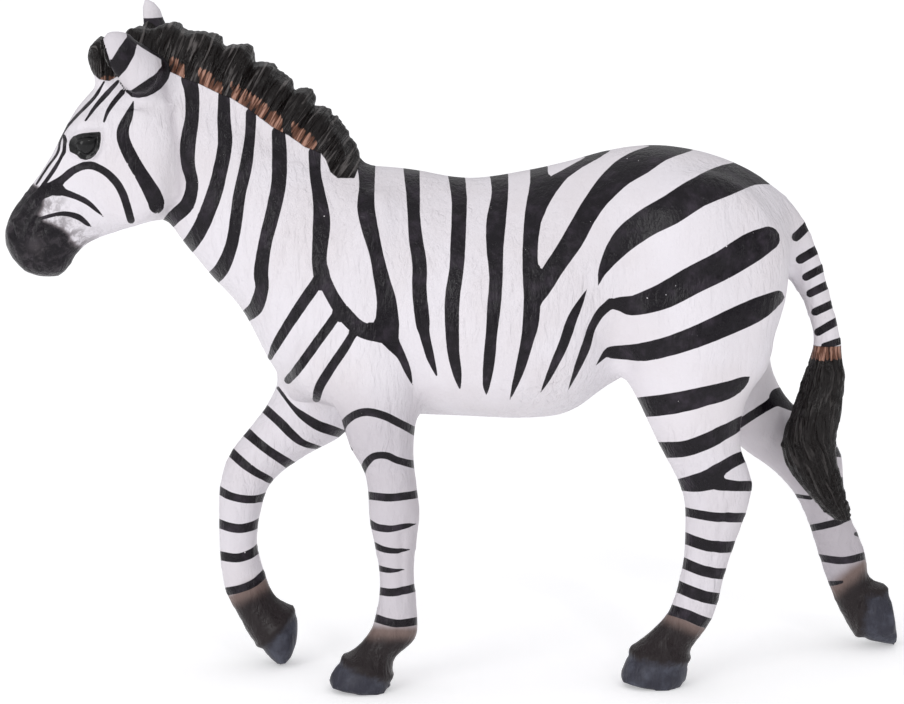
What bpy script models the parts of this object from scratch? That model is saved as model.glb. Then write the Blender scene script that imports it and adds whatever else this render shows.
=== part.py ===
"""Zebra figurine: one solid plastic casting that stands on its own feet.

The animal faces -X and its left side is towards -Y. It is lofted from cross-sections given in shares of its
own height, fused into one skin and cut flat where its feet meet the ground.
"""

from math import cos, pi, radians, sin

import bmesh
import bpy
import numpy as np
from mathutils import Matrix, Vector

# Driving dimensions, in metres
FIGURE_HEIGHT = 0.0931      # tip of the taller ear above the ground
TRIANGLES = 9400            # of the finished skin

# The pose is written on a figure that is 93.1 units tall
NOMINAL_HEIGHT = 93.1
UNIT = FIGURE_HEIGHT / NOMINAL_HEIGHT
CORE_CELL = 0.75            # size of the mesh cells that fuse the body, in units
CORE_SMOOTHING = 9
SKIN_CELL = 0.5             # size of the mesh cells that fuse the details onto it
SKIN_SMOOTHING = 2
RING_POINTS = 28
STEPS = 4                   # rings made between two cross-sections
TIP_RINGS = ((0.6, 0.8), (1.0, 0.45))   # of a rounded end: how far out and how big, as shares
NEAR = -1                   # the animal's left side, at -Y
FAR = 1

# Each row is one cross-section: its front or top point (x, z), its back or bottom point (x, z), its half-width,
# the y of its middle, and how much wider its second end is than its first.
TRUNK = [
    (-22.5, 65, -22.5, 42, 8.0, 0, 0.0),
    (-19, 69.5, -19.5, 38.6, 10.6, 0, 0.08),
    (-13, 70.7, -13.5, 37.0, 12.4, 0, 0.14),
    (-6, 70.4, -6.5, 36.7, 13.6, 0, 0.18),
    (2, 69.0, 1.5, 36.4, 14.8, 0, 0.2),
    (10, 70.0, 10, 36.0, 15.2, 0, 0.18),
    (16, 71.3, 16, 36.8, 14.7, 0, 0.12),
    (22, 72.9, 21, 40.3, 13.8, 0, 0.05),
    (28, 73.4, 27, 43.5, 13.4, 0, 0.0),
    (34, 72.5, 33, 45.5, 12.8, 0, 0.0),
    (39, 70.7, 38.5, 47, 11.6, 0, 0.0),
    (43, 68.3, 42.8, 49.5, 9.4, 0, 0.0),
    (46, 64.6, 45.2, 53.5, 5.8, 0, 0.0),
]
NECK = [
    (-39.0, 85.0, -38.5, 64.2, 4.6, 0, 0.15),
    (-36.0, 83.5, -37.4, 61.6, 5.4, 0, 0.15),
    (-31.0, 81.0, -34.8, 58.3, 6.2, 0, 0.15),
    (-26.0, 77.6, -32.3, 55.2, 7.2, 0, 0.15),
    (-20.5, 74.4, -29.4, 52.2, 8.6, 0, 0.15),
    (-15.0, 71.8, -27.2, 48.6, 10.3, 0, 0.15),
    (-9.0, 70.4, -25.4, 44.6, 12.0, 0, 0.1),
    (-3.0, 69.3, -22.6, 40.2, 13.0, 0, 0.1),
]
HEAD = [
    (-36.6, 80.0, -36.6, 66.4, 4.6, 0, 0.0),
    (-37.6, 83.6, -37.6, 64.6, 5.6, 0, 0.0),
    (-40.6, 84.8, -39.6, 63.5, 6.1, 0, 0.0),
    (-44.6, 84.0, -42.0, 62.7, 6.3, 0, -0.05),
    (-47.8, 81.8, -44.4, 62.0, 6.3, 0, -0.1),
    (-50.5, 79.0, -46.6, 61.3, 5.9, 0, -0.15),
    (-52.6, 75.4, -48.8, 60.4, 5.1, 0, -0.15),
    (-54.5, 71.8, -50.6, 59.2, 4.3, 0, -0.1),
    (-56.8, 68.6, -51.4, 57.4, 4.0, 0, 0.0),
    (-59.0, 65.9, -52.4, 55.9, 4.2, 0, 0.0),
    (-60.3, 63.6, -54.7, 55.5, 4.2, 0, -0.05),
    (-60.8, 61.8, -57.4, 56.0, 3.4, 0, 0.0),
    (-60.5, 60.2, -59.0, 57.6, 1.6, 0, 0.0),
]
NEAR_FRONT = [
    (-19.0, 52.0, -4.0, 54.0, 6.2, -7.2, 0.0),
    (-18.2, 44.0, -3.8, 45.0, 6.4, -8.0, 0.0),
    (-15.6, 38.4, -4.9, 38.6, 5.4, -8.8, 0.0),
    (-14.2, 33.6, -5.4, 33.4, 4.4, -9.2, 0.0),
    (-12.4, 30.8, -5.1, 29.6, 3.7, -9.3, 0.0),
    (-11.8, 27.2, -4.7, 26.6, 3.6, -9.3, 0.0),
    (-11.8, 24.0, -4.4, 24.4, 3.4, -9.3, 0.0),
    (-11.2, 21.2, -4.9, 21.2, 3.1, -9.2, 0.0),
    (-10.4, 17.0, -5.3, 17.0, 2.7, -9.1, 0.0),
    (-10.4, 13.0, -5.1, 13.2, 2.6, -9.0, 0.0),
    (-10.9, 10.2, -4.8, 9.9, 3.1, -9.0, 0.0),
    (-11.6, 8.0, -4.9, 7.0, 3.1, -9.0, 0.0),
    (-13.2, 6.2, -7.2, 5.2, 3.0, -9.0, 0.0),
    (-14.6, 4.7, -8.6, 3.4, 3.5, -9.0, 0.0),
]
NEAR_HIND = [
    (24.0, 62.0, 44.0, 62.0, 6.0, -6.8, 0.0),
    (22.6, 54.0, 44.8, 55.0, 7.0, -7.8, 0.0),
    (22.0, 48.0, 43.4, 49.5, 7.2, -8.2, 0.0),
    (22.8, 43.4, 42.6, 44.4, 6.9, -8.4, 0.0),
    (24.7, 39.8, 39.8, 40.6, 6.1, -8.8, 0.0),
    (27.2, 34.4, 38.7, 35.4, 4.9, -9.1, 0.0),
    (29.2, 30.6, 39.3, 32.0, 4.1, -9.1, 0.0),
    (30.6, 27.6, 40.6, 28.6, 3.7, -9.0, 0.0),
    (31.2, 24.6, 40.0, 24.8, 3.5, -8.9, 0.0),
    (31.2, 21.0, 38.7, 21.0, 3.1, -8.8, 0.0),
    (30.9, 17.0, 37.4, 17.0, 2.8, -8.7, 0.0),
    (30.0, 13.0, 36.5, 13.2, 2.7, -8.6, 0.0),
    (28.8, 9.6, 35.6, 9.6, 3.0, -8.2, 0.0),
    (26.6, 7.4, 34.0, 7.0, 3.0, -8.0, 0.0),
    (24.6, 5.4, 32.1, 4.6, 3.6, -7.8, 0.0),
]
FAR_FRONT = [
    (-20.5, 48.0, -6.0, 50.0, 6.0, 6.6, 0.0),
    (-23.4, 41.0, -9.5, 39.0, 6.0, 7.0, 0.0),
    (-25.6, 36.3, -14.8, 32.2, 5.0, 7.2, 0.0),
    (-28.2, 33.0, -18.4, 30.2, 4.3, 7.2, 0.0),
    (-30.6, 30.0, -22.4, 27.7, 3.8, 7.0, 0.0),
    (-32.0, 26.6, -25.3, 24.9, 3.6, 6.9, 0.0),
    (-32.4, 22.4, -26.1, 21.4, 3.3, 6.6, 0.0),
    (-32.4, 18.0, -26.7, 17.6, 2.9, 6.2, 0.0),
    (-32.2, 13.8, -26.0, 13.8, 2.8, 5.8, 0.0),
    (-31.6, 10.2, -25.4, 12.0, 3.1, 5.5, 0.0),
    (-29.9, 7.2, -24.4, 9.6, 3.0, 5.3, 0.0),
    (-28.4, 4.4, -22.2, 8.2, 3.6, 5.2, 0.0),
]
FAR_HIND = [
    (24.0, 62.0, 44.0, 62.0, 6.0, 6.8, 0.0),
    (24.0, 54.0, 44.8, 55.0, 7.0, 7.8, 0.0),
    (26.4, 46.5, 44.6, 49.0, 7.0, 8.2, 0.0),
    (30.0, 39.6, 44.6, 43.0, 6.3, 8.5, 0.0),
    (35.0, 34.2, 46.2, 38.2, 5.3, 8.8, 0.0),
    (40.6, 29.6, 49.4, 34.6, 4.4, 9.0, 0.0),
    (44.8, 26.6, 53.0, 32.2, 3.8, 9.0, 0.0),
    (47.6, 23.8, 55.2, 28.4, 3.6, 9.1, 0.0),
    (49.6, 20.6, 55.5, 24.4, 3.3, 9.4, 0.0),
    (50.8, 17.4, 56.3, 20.2, 2.8, 9.8, 0.0),
    (52.0, 13.6, 58.0, 16.8, 2.7, 10.7, 0.0),
    (53.4, 9.8, 59.3, 13.4, 3.0, 11.6, 0.0),
    (54.9, 6.2, 59.4, 10.0, 2.9, 12.0, 0.0),
    (56.9, 2.6, 60.2, 9.2, 3.3, 12.3, 0.0),
]
# Each hoof runs from its coronet to its sole
HOOVES = [
    [
        (-14.6, 5.2, -8.6, 4.0, 3.6, -9.0, 0.0),
        (-15.6, 4.0, -8.3, 2.8, 4.0, -9.0, 0.0),
        (-17.4, 1.2, -8.6, 0.6, 4.3, -9.0, 0.0),
        (-17.5, 0.6, -8.7, -0.6, 4.3, -9.0, 0.0),
    ],
    [
        (24.6, 5.9, 32.2, 5.0, 3.6, -7.8, 0.0),
        (23.9, 4.5, 32.3, 3.6, 4.0, -7.8, 0.0),
        (22.7, 1.4, 31.8, 0.6, 4.3, -7.8, 0.0),
        (22.4, 0.6, 31.7, -0.6, 4.3, -7.8, 0.0),
    ],
    [
        (-28.9, 5.0, -22.4, 8.6, 3.5, 5.2, 0.0),
        (-27.6, 3.4, -21.6, 7.7, 3.9, 5.2, 0.0),
        (-24.4, 0.0, -21.3, 5.2, 3.9, 5.2, 0.0),
        (-23.6, -0.4, -21.6, 2.6, 3.6, 5.2, 0.0),
    ],
    [
        (56.6, 3.0, 59.9, 9.7, 3.4, 12.3, 0.0),
        (58.4, 1.2, 61.0, 9.4, 3.8, 12.5, 0.0),
        (63.2, 0.0, 62.2, 8.6, 4.0, 12.8, 0.0),
        (64.0, -0.3, 62.6, 7.8, 3.8, 12.8, 0.0),
    ],
]
TAIL = [
    (40.0, 69.2, 42.0, 60.0, 3.2, 0, 0.0),
    (44.2, 67.4, 44.6, 60.8, 3.0, 0, 0.0),
    (47.9, 63.3, 45.4, 58.4, 2.5, 0, 0.0),
    (50.4, 57.6, 46.6, 54.8, 2.2, 0, 0.0),
    (52.1, 51.6, 48.4, 50.8, 2.0, 0, 0.0),
    (53.4, 46.6, 49.6, 46.6, 1.9, 0, 0.0),
    (53.7, 43.0, 49.2, 43.2, 2.0, 0, 0.0),
]
TUFT = [
    (53.4, 45.2, 49.4, 45.4, 1.7, 0, 0.0),
    (53.8, 41.6, 48.9, 43.0, 2.6, 0, 0.0),
    (53.4, 37.0, 47.5, 38.0, 3.0, 0, 0.0),
    (52.7, 33.0, 45.9, 33.2, 3.1, 0, 0.0),
    (52.8, 30.2, 45.9, 29.8, 3.0, 0, 0.0),
    (53.4, 27.6, 47.5, 26.9, 2.7, 0, 0.0),
    (54.3, 25.0, 49.9, 24.0, 2.2, 0, 0.0),
    (55.1, 22.8, 52.4, 21.4, 1.5, 0, 0.0),
    (55.6, 21.2, 54.6, 20.4, 0.7, 0, 0.0),
]
TUFT_LOCKS = 9
TUFT_LOCK_OUT = (0.42, 0.85)    # how far out the locks hang in the side view and across it, as shares
TUFT_LOCK_SIZE = (0.3, 0.42)    # their half-widths in the side view and across it, as shares of the tuft's

# The mane: the line where it grows from the neck, and its crest
MANE_ROOT = [
    (-45.5, 0, 81.0), (-40.5, 0, 82.6), (-35, 0, 80.4), (-27, 0, 76.5), (-20, 0, 72.6), (-14.8, 0, 69.0),
]
MANE_CREST = [
    (-47.2, 0, 87.4), (-43.6, 0, 88.9), (-39, 0, 90.1), (-35, 0, 89.2), (-29, 0, 87.3), (-24.4, 0, 84.3),
    (-20.6, 0, 81.2), (-16.9, 0, 78.3), (-14.4, 0, 74.6),
]
MANE_LOCKS = 24             # in each of its two rows
MANE_ROW_ROOT = 1.5         # from the middle of the neck to the root of a row
MANE_ROW_TIP = 1.0          # and to its tip
MANE_ROW_SHIFT = 0.5        # of the far row backwards, as a share of those
LOCK_WIDTH = 1.25           # half-width of a lock in the side view
LOCK_DEPTH = 2.2            # half-width of a lock across the mane
LOCK_SHARES = (1.0, 1.15, 1.15, 1.0, 0.6)
LOCK_POINTS = 12
LOCK_LENGTH = 0.99          # of the way to the crest
LOCK_SCALLOP = 0.065        # how much longer or shorter a lock can be than that
SCALLOP_START = 1.6         # radians at the first lock
SCALLOP_TURN = 2.1          # and from one lock to the next
FORELOCK_WIDTH = 2.25       # half-width in the side view
FORELOCK = [
    ((-43.0, 0.0, 83.4), (-47.8, -0.5, 84.6)),
    ((-43.2, 0.5, 84.4), (-48.8, 0.4, 86.4)),
    ((-42.6, -0.2, 84.8), (-47.0, -0.3, 88.3)),
]

# Each ear: its root, its tip, its half-width and the way its mouth faces
EARS = [
    ((-40.5, -4.6, 82.7), (-46.3, -7.4, 88.8), 3.4, (-0.3, 1.0, -0.2)),
    ((-40.9, 4.2, 82.6), (-41.3, 7.0, 93.0), 3.0, (-1.0, 0.3, 0.0)),
]
EAR_DEPTH = 2.2             # half-thickness before the ear is cupped
EAR_POINTS = 18
EAR_SHARES = [
    (-0.06, 0.5), (0.02, 0.84), (0.14, 1.0), (0.3, 1.04), (0.5, 0.98), (0.72, 0.8), (0.9, 0.55), (1.0, 0.25),
]
EAR_CUP = 0.96              # how far the mouth is pressed in, as a share of the depth
EAR_CUP_START = 0.12        # how much of the cup lies below the root, as a share of the length
EAR_BACK = 0.35             # how far the middle bulges backwards, as a share of the depth

EYE_MIDDLE = (-49.1, 5.7, 74.3)
EYE_RADII = (1.9, 1.1, 1.7)
EYE_TILT = 20

# Muscles and bones that show through the skin: the sides they are on, their middle, radii and tilt in the side view
BOTH = (NEAR, FAR)
MUSCLES = {
    "shoulder blade": (BOTH, (-13.6, 6.6, 57.0), (6.0, 5.6, 12.5), 22),
    "near point of shoulder": ((NEAR,), (-17.6, 7.6, 46.0), (4.6, 5.6, 6.5), 10),
    "far point of shoulder": ((FAR,), (-20.0, 7.2, 45.0), (4.4, 5.4, 6.0), 30),
    "upper arm": (BOTH, (-8.0, 8.4, 50.0), (6.6, 5.2, 9.0), -24),
    "breast": (BOTH, (-19.4, 3.6, 44.6), (3.8, 4.2, 6.4), 16),
    "rump": (BOTH, (32.5, 7.8, 60.0), (11.5, 6.6, 11.0), 0),
    "near thigh front": ((NEAR,), (26.5, 9.0, 50.0), (5.0, 5.6, 10.5), -12),
    "far thigh front": ((FAR,), (28.5, 9.0, 50.0), (5.5, 5.6, 10.0), -24),
    "buttock": (BOTH, (39.6, 6.6, 55.0), (5.6, 5.6, 11.5), 8),
    "cheek": (BOTH, (-42.6, 4.2, 69.4), (4.8, 2.9, 6.4), 8),
    "brow": (BOTH, (-48.2, 4.4, 76.0), (3.2, 2.1, 2.2), 30),
    "cheekbone": (BOTH, (-50.6, 3.6, 70.6), (4.2, 1.9, 1.5), 42),
    "nostril rim": (BOTH, (-58.6, 3.3, 62.6), (1.9, 1.3, 1.7), 30),
}

# Grooves: the sides they are on, their path, half-width, depth and the way they are pressed
GROOVES = {
    "nostril": (BOTH, [(-59.6, 4.2, 62.4), (-58.8, 4.4, 63.4)], 1.3, 1.0, (0.6, -1.0, 0.0)),
    "mouth": (BOTH, [(-60.6, 1.5, 58.8), (-58.4, 4.0, 58.6), (-55.4, 4.2, 59.0)], 0.9, 0.6, (0.5, -1.0, 0.2)),
    "chin": (BOTH, [(-52.2, 1.0, 57.6), (-52.0, 3.6, 59.6)], 1.6, 0.5, (-0.3, -1.0, 0.5)),
    "jaw edge": (BOTH, [(-36.6, 6.0, 80.0), (-36.4, 6.2, 74.0), (-37.0, 6.0, 68.0)], 1.7, 0.8, (0.3, -1.0, 0.0)),
    "eye front": (BOTH, [(-51.4, 5.2, 72.9), (-52.4, 4.6, 70.8)], 1.4, 0.6, (0.2, -1.0, 0.0)),
    "breast middle": ((NEAR,), [(-24.6, 0.0, 47.0), (-22.6, 0.0, 40.0)], 2.2, 1.2, (1.0, 0.0, 0.4)),
    "shoulder": (BOTH, [(-14.5, 10.5, 66.0), (-19.5, 10.8, 56.0), (-22.0, 9.6, 49.0)], 5.0, 0.5, (0.3, -1.0, 0.0)),
    "elbow": (BOTH, [(-3.0, 13.4, 46.0), (-1.0, 14.4, 52.0), (-2.0, 14.4, 59.0)], 5.0, 0.5, (0.0, -1.0, 0.0)),
    "flank": (BOTH, [(20.5, 14.5, 47.0), (20.0, 14.6, 56.0), (23.0, 13.6, 64.0)], 6.0, 0.8, (0.0, -1.0, 0.0)),
    "buttock middle": ((NEAR,), [(46.0, 0.0, 58.0), (43.0, 0.0, 46.0)], 3.0, 1.6, (-1.0, 0.0, 0.0)),
    "thigh back": (BOTH, [(38.4, 13.4, 64.0), (38.0, 14.0, 54.0), (36.6, 13.0, 46.0)], 4.5, 0.4, (0.0, -1.0, 0.0)),
}


def ring(bm, section, size=1.0):
    """One closed ring of vertices around a cross-section."""
    front_x, front_z, back_x, back_z, half_width, y, flare = section
    front = Vector((front_x, y, front_z))
    back = Vector((back_x, y, back_z))
    middle = (front + back) / 2
    reach = (front - back) / 2 * size
    points = []
    for step in range(RING_POINTS):
        angle = 2 * pi * step / RING_POINTS
        across = half_width * size * sin(angle) * (1 - flare * cos(angle))
        points.append(bm.verts.new((middle + reach * cos(angle) + Vector((0, across, 0))) * UNIT))
    return points


def between(rows):
    """The rows with smooth ones added between them, on a Catmull-Rom curve."""
    rows = np.array(rows, float)
    padded = np.vstack([2 * rows[0] - rows[1], rows, 2 * rows[-1] - rows[-2]])
    smooth = []
    for index in range(1, len(padded) - 2):
        a, b, c, d = padded[index - 1:index + 3]
        for step in range(STEPS):
            t = step / STEPS
            bend = (2 * a - 5 * b + 4 * c - d) * t**2 + (3 * b - a - 3 * c + d) * t**3
            smooth.append((2 * b + (c - a) * t + bend) / 2)
    smooth.append(rows[-1])
    return smooth


def skin(bm, rings):
    """Faces between the rings and over both ends, pointing out."""
    for low, high in zip(rings, rings[1:]):
        for step in range(len(low)):
            after = (step + 1) % len(low)
            bm.faces.new((low[step], low[after], high[after], high[step]))
    bm.faces.new(list(reversed(rings[0])))
    bm.faces.new(rings[-1])


def loft(bm, rows, tip=0.0):
    """A closed skin through cross-sections, with a rounded end if a tip is given, in last half-widths."""
    sections = between(rows)
    rings = [ring(bm, section) for section in sections]
    if tip:
        for reach, size in TIP_RINGS:
            rings.append(ring(bm, extended(sections, reach * tip), size))
    skin(bm, rings)


def extended(sections, share):
    """The cross-section that lies a share of the last half-width past the end."""
    last = np.array(sections[-1])
    before = np.array(sections[-3])
    step = (last[[0, 1]] + last[[2, 3]] - before[[0, 1]] - before[[2, 3]]) / 2
    step = step / np.hypot(*step) * last[4] * share
    moved = last.copy()
    moved[[0, 2]] += step[0]
    moved[[1, 3]] += step[1]
    return moved


def ellipsoid(bm, centre, radii, tilt):
    """A muscle: an ellipsoid that is tilted in the side view."""
    turned = Matrix.Rotation(radians(tilt), 4, "Y")
    place = Matrix.Translation(Vector(centre) * UNIT) @ turned @ Matrix.Diagonal((*(Vector(radii) * UNIT), 1))
    bmesh.ops.create_icosphere(bm, subdivisions=3, radius=1, matrix=place)


def blade(bm, root, tip, width):
    """A lock of hair from root to tip, with its half-width in the side view."""
    root = Vector(root)
    tip = Vector(tip)
    run = tip - root
    side = Vector((run.z, 0, -run.x)).normalized()
    across = run.cross(side).normalized()
    rings = []
    for index, share in enumerate(LOCK_SHARES):
        middle = root + run * index / (len(LOCK_SHARES) - 1)
        loop = []
        for step in range(LOCK_POINTS):
            angle = 2 * pi * step / LOCK_POINTS
            offset = (side * width * cos(angle) + across * LOCK_DEPTH * sin(angle)) * share
            loop.append(bm.verts.new((middle + offset) * UNIT))
        rings.append(loop)
    skin(bm, rings)


def make_object(name, bm):
    bmesh.ops.recalc_face_normals(bm, faces=bm.faces)
    mesh = bpy.data.meshes.new(name)
    bm.to_mesh(mesh)
    bm.free()
    made = bpy.data.objects.new(name, mesh)
    bpy.context.scene.collection.objects.link(made)
    return made


def finished(thing):
    """The mesh of a thing with its modifiers applied."""
    bpy.context.view_layer.update()
    mesh = bpy.data.meshes.new_from_object(thing.evaluated_get(bpy.context.evaluated_depsgraph_get()))
    bpy.data.objects.remove(thing)
    return mesh


def fused(thing, cell, smoothing):
    """The mesh of a thing after its overlapping shells are fused into one skin."""
    remesh = thing.modifiers.new("Fuse", "REMESH")
    remesh.mode = "VOXEL"
    remesh.voxel_size = cell * UNIT
    smooth = thing.modifiers.new("Soften", "SMOOTH")
    smooth.factor = 0.5
    smooth.iterations = smoothing
    return finished(thing)


def thinned(mesh, triangles):
    """The mesh with fewer faces where it is nearly flat."""
    found = sum(len(face.vertices) - 2 for face in mesh.polygons)
    thing = bpy.data.objects.new("Thinned", mesh)
    bpy.context.scene.collection.objects.link(thing)
    thing.modifiers.new("Thin", "DECIMATE").ratio = triangles / found
    return finished(thing)


def press(places, path, width, depth, towards):
    """Presses a round-bottomed groove along a path into the skin, or raises a ridge if the depth is negative."""
    towards = np.array(towards, float)
    towards /= np.linalg.norm(towards)
    path = np.array(path, float)
    nearest = np.full(len(places), np.inf)
    for a, b in zip(path, path[1:]):
        t = np.clip((places - a) @ (b - a) / ((b - a) @ (b - a)), 0, 1)
        nearest = np.minimum(nearest, np.linalg.norm(places - a - t[:, None] * (b - a), axis=1))
    fall = np.clip(1 - nearest / width, 0, 1)
    places += (fall * fall * (3 - 2 * fall) * depth)[:, None] * towards


def sculpted(mesh):
    """Grooves of the face and the body, pressed into the fused skin."""
    places = np.empty(len(mesh.vertices) * 3)
    mesh.vertices.foreach_get("co", places)
    places = places.reshape(-1, 3) / UNIT
    for sides, path, width, depth, (towards_x, towards_y, towards_z) in GROOVES.values():
        for side in sides:
            mirrored = [(x, y * side, z) for x, y, z in path]
            press(places, mirrored, width, depth, (towards_x, towards_y * side, towards_z))
    mesh.vertices.foreach_set("co", (places * UNIT).ravel())
    return mesh


def body():
    """Trunk, neck, head and legs with their muscles, fused and softened."""
    bm = bmesh.new()
    loft(bm, TRUNK)
    loft(bm, NECK)
    loft(bm, HEAD, tip=0.3)
    for leg in (NEAR_FRONT, NEAR_HIND, FAR_FRONT, FAR_HIND):
        loft(bm, leg)
    for sides, (x, y, z), radii, tilt in MUSCLES.values():
        for side in sides:
            ellipsoid(bm, (x, y * side, z), radii, tilt)
    return fused(make_object("Body", bm), CORE_CELL, CORE_SMOOTHING)


def hooves(bm):
    """Each hoof from its coronet, a raised rim, to its sole."""
    for hoof in HOOVES:
        loft(bm, hoof)


def along(points, share):
    """The point a share of the way along a polyline."""
    points = [Vector(point) for point in points]
    lengths = [(b - a).length for a, b in zip(points, points[1:])]
    left = share * sum(lengths)
    for a, b, length in zip(points, points[1:], lengths):
        if left <= length:
            break
        left -= length
    return a + (b - a) * min(left / length, 1.0)


def mane(bm):
    """A standing mane of overlapping locks, a row on each side, and the forelock."""
    for index in range(MANE_LOCKS):
        share = index / (MANE_LOCKS - 1)
        root = along(MANE_ROOT, share)
        tip = along(MANE_CREST, share)
        length = LOCK_LENGTH + LOCK_SCALLOP * sin(SCALLOP_START + index * SCALLOP_TURN)
        tip = root + (tip - root) * length
        for side in BOTH:
            across = Vector((MANE_ROW_SHIFT * side, side, 0))
            blade(bm, root + across * MANE_ROW_ROOT, tip + across * MANE_ROW_TIP, LOCK_WIDTH)
    for root, tip in FORELOCK:
        blade(bm, root, tip, FORELOCK_WIDTH)


def ear(bm, root, tip, width, front):
    """A cupped leaf: its outer shell bulges away from the front direction and its mouth is hollow."""
    root = Vector(root)
    tip = Vector(tip)
    run = tip - root
    front = Vector(front)
    front = (front - run * front.dot(run) / run.length_squared).normalized()
    side = run.cross(front).normalized()
    rings = []
    for t, wide in EAR_SHARES:
        middle = root + run * t
        cup = EAR_CUP * sin(pi * min(1, t + EAR_CUP_START))
        loop = []
        for step in range(EAR_POINTS):
            angle = 2 * pi * step / EAR_POINTS
            across = cos(angle) * width * wide
            out = sin(angle) * EAR_DEPTH * wide
            if out > 0:
                out *= 1 - cup
            out -= EAR_BACK * sin(angle) ** 2 * EAR_DEPTH * wide
            loop.append(bm.verts.new((middle + side * across + front * out) * UNIT))
        rings.append(loop)
    skin(bm, rings)


def tail(bm):
    """The dock, and a tuft of locks that hang from it."""
    loft(bm, TAIL)
    loft(bm, TUFT)
    out_x, out_y = TUFT_LOCK_OUT
    size_x, size_y = TUFT_LOCK_SIZE
    for index in range(TUFT_LOCKS):
        turn = 2 * pi * (index + 0.5) / TUFT_LOCKS
        lock = []
        for front_x, front_z, back_x, back_z, half, _, _ in TUFT[1:-1]:
            x = (front_x + back_x) / 2 + out_x * (front_x - back_x) * cos(turn)
            y = out_y * half * sin(turn)
            z = (front_z + back_z) / 2
            lock.append((x + size_x * half, z, x - size_x * half, z, size_y * half, y, 0.0))
        loft(bm, lock)


def details(body_mesh):
    """The body with ears, mane, hooves and tail fused onto it."""
    bm = bmesh.new()
    bm.from_mesh(body_mesh)
    hooves(bm)
    mane(bm)
    for root, tip, width, front in EARS:
        ear(bm, root, tip, width, front)
    for side in BOTH:
        x, y, z = EYE_MIDDLE
        ellipsoid(bm, (x, y * side, z), EYE_RADII, EYE_TILT)
    tail(bm)
    return thinned(sculpted(fused(make_object("Details", bm), SKIN_CELL, SKIN_SMOOTHING)), TRIANGLES)


def flat_soles(bm):
    """Cuts the feet flat at the ground."""
    geometry = bm.verts[:] + bm.edges[:] + bm.faces[:]
    cut = bmesh.ops.bisect_plane(bm, geom=geometry, plane_co=(0, 0, 0), plane_no=(0, 0, -1), clear_outer=True)
    edges = [item for item in cut["geom_cut"] if isinstance(item, bmesh.types.BMEdge)]
    bmesh.ops.holes_fill(bm, edges=edges)
    bmesh.ops.triangulate(bm, faces=[face for face in bm.faces if len(face.verts) > 3])


def centred(bm):
    """Puts the middle of the figure's box over the origin."""
    places = np.array([vertex.co for vertex in bm.verts])
    low = places.min(axis=0)
    high = places.max(axis=0)
    bmesh.ops.translate(bm, verts=bm.verts, vec=(-(low[0] + high[0]) / 2, -(low[1] + high[1]) / 2, 0))


def painted_plastic():
    material = bpy.data.materials.new("PaintedPlastic")
    material.use_nodes = True
    shader = material.node_tree.nodes["Principled BSDF"]
    shader.inputs["Base Color"].default_value = (0.78, 0.77, 0.76, 1)
    shader.inputs["Roughness"].default_value = 0.4
    return material


def main():
    for old in list(bpy.data.objects):
        bpy.data.objects.remove(old)
    bm = bmesh.new()
    bm.from_mesh(details(body()))
    flat_soles(bm)
    centred(bm)
    zebra = make_object("zebra", bm)
    zebra.data.materials.append(painted_plastic())
    zebra.data.shade_smooth()


if __name__ == "__main__":
    main()
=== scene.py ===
# Zebra figurine in painted plastic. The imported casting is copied, given an even skin, sculpted and painted.
from math import cos, radians, sin

import bmesh
import bpy
import numpy as np
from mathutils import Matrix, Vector


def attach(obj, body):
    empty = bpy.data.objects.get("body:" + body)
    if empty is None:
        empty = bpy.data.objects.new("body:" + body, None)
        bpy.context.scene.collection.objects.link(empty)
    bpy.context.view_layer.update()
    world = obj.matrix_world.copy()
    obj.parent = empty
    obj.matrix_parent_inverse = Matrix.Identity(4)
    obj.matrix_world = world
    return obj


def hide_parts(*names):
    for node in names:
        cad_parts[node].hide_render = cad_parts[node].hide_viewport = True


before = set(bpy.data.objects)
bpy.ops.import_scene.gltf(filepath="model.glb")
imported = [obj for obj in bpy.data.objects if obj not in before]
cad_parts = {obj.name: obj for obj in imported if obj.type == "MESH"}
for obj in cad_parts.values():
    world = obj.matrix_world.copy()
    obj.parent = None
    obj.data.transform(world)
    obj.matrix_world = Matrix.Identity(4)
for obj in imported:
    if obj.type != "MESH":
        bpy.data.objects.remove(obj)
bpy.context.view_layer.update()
scene = bpy.context.scene
scene.view_settings.view_transform = "Standard"

# How the photograph was taken. Strokes of paint are placed by its pixels, and sizes are in millimetres.
photo = {
    "width": 904,
    "height": 704,
    "elevation": 10.0,              # degrees above the floor
    "turn": -2.0,                   # degrees round the upright axis
    "distance": 520.0,              # from the camera to its target
    "target": (0.0, 0.0, 45.0),     # in the drawing's own axes
    "pixel": 0.1367,                # spanned by one pixel at the target
    "toDrawing": (1.5771, 0.7019, 0.0),     # from the figure's place to the drawing's
    "sensor": 36,                   # width of the camera's sensor
}


def cameraAxes():
    turn, rise = radians(photo["turn"]), radians(photo["elevation"])
    ahead = np.array([-sin(turn) * cos(rise), cos(turn) * cos(rise), -sin(rise)])
    right = np.array([cos(turn), sin(turn), 0.0])
    return ahead, right, np.cross(right, ahead)


def photoPixels(x, y, z):
    ahead, right, up = cameraAxes()
    offset = np.stack([x, y, z], -1) - np.array(photo["target"])
    scale = photo["distance"] / (offset @ ahead + photo["distance"]) / photo["pixel"]
    px = photo["width"] / 2 + offset @ right * scale
    py = photo["height"] / 2 - offset @ up * scale
    return px, py


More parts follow.
